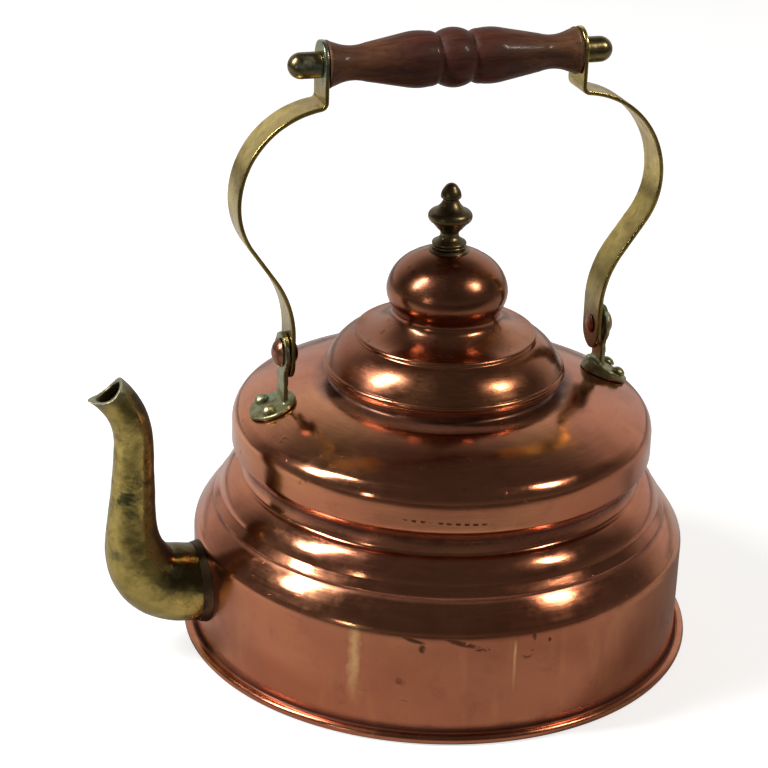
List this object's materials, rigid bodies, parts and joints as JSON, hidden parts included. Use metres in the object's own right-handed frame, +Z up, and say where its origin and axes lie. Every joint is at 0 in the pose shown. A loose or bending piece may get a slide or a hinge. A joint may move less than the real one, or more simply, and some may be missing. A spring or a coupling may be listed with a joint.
{
  "type": "stove kettle",
  "caption": "Copper stove kettle with a stepped round body, brass swan-neck spout, swinging brass bail with a turned wooden grip, and a lift-off domed lid with a knob.",
  "frame": {"origin": "centre of the flat base, on the surface the kettle stands on", "axes": "+Z up; the spout points to -X; the bail stands in the XZ plane and swings about a line parallel to X"},
  "size_m": [0.2389, 0.2, 0.2404],
  "materials": {
    "body_copper": "semi-polished copper with tarnish",
    "lid_copper": "polished, darkened copper",
    "spout_brass": "tarnished cast brass",
    "strap_brass": "tarnished brass strip",
    "knob_brass": "dark polished brass",
    "rivet_copper": "worn copper",
    "solder": "dull tin solder",
    "grip_wood": "oiled dark reddish-brown hardwood"
  },
  "bodies": {
    "kettle": {"body_shell": "body_copper", "bottom_plate": "body_copper", "spout": "spout_brass", "spout_solder": "solder", "spout_side_lug": "strap_brass", "back_lug": "strap_brass", "spout_side_foot_rivets": "strap_brass", "back_foot_rivets": "strap_brass", "spout_side_pivot_rivet": "rivet_copper", "back_pivot_rivet": "rivet_copper"},
    "bail": {"spout_side_strap": "strap_brass", "back_strap": "strap_brass", "handle_rod": "strap_brass", "spout_side_dome_nut": "strap_brass", "back_dome_nut": "strap_brass"},
    "grip": {"wooden_grip": "grip_wood"},
    "lid": {"lid_cover": "lid_copper", "lid_sleeve": "lid_copper", "finial": "knob_brass", "finial_washer": "knob_brass", "finial_nut": "knob_brass"}
  },
  "joints": [
    {"name": "bail_swing", "type": "hinge", "parent": "kettle", "child": "bail", "pos_m": [0, 0, 0.1196], "axis": [1, 0, 0], "range_deg": [-108, 108]},
    {"name": "lid_lift", "type": "slide", "parent": "kettle", "child": "lid", "axis": [0, 0, 1], "range_m": [0, 0.034]},
    {"name": "grip_turn", "type": "hinge", "parent": "bail", "child": "grip", "pos_m": [0, 0, 0.2294], "axis": [1, 0, 0], "continuous": true}
  ]
}
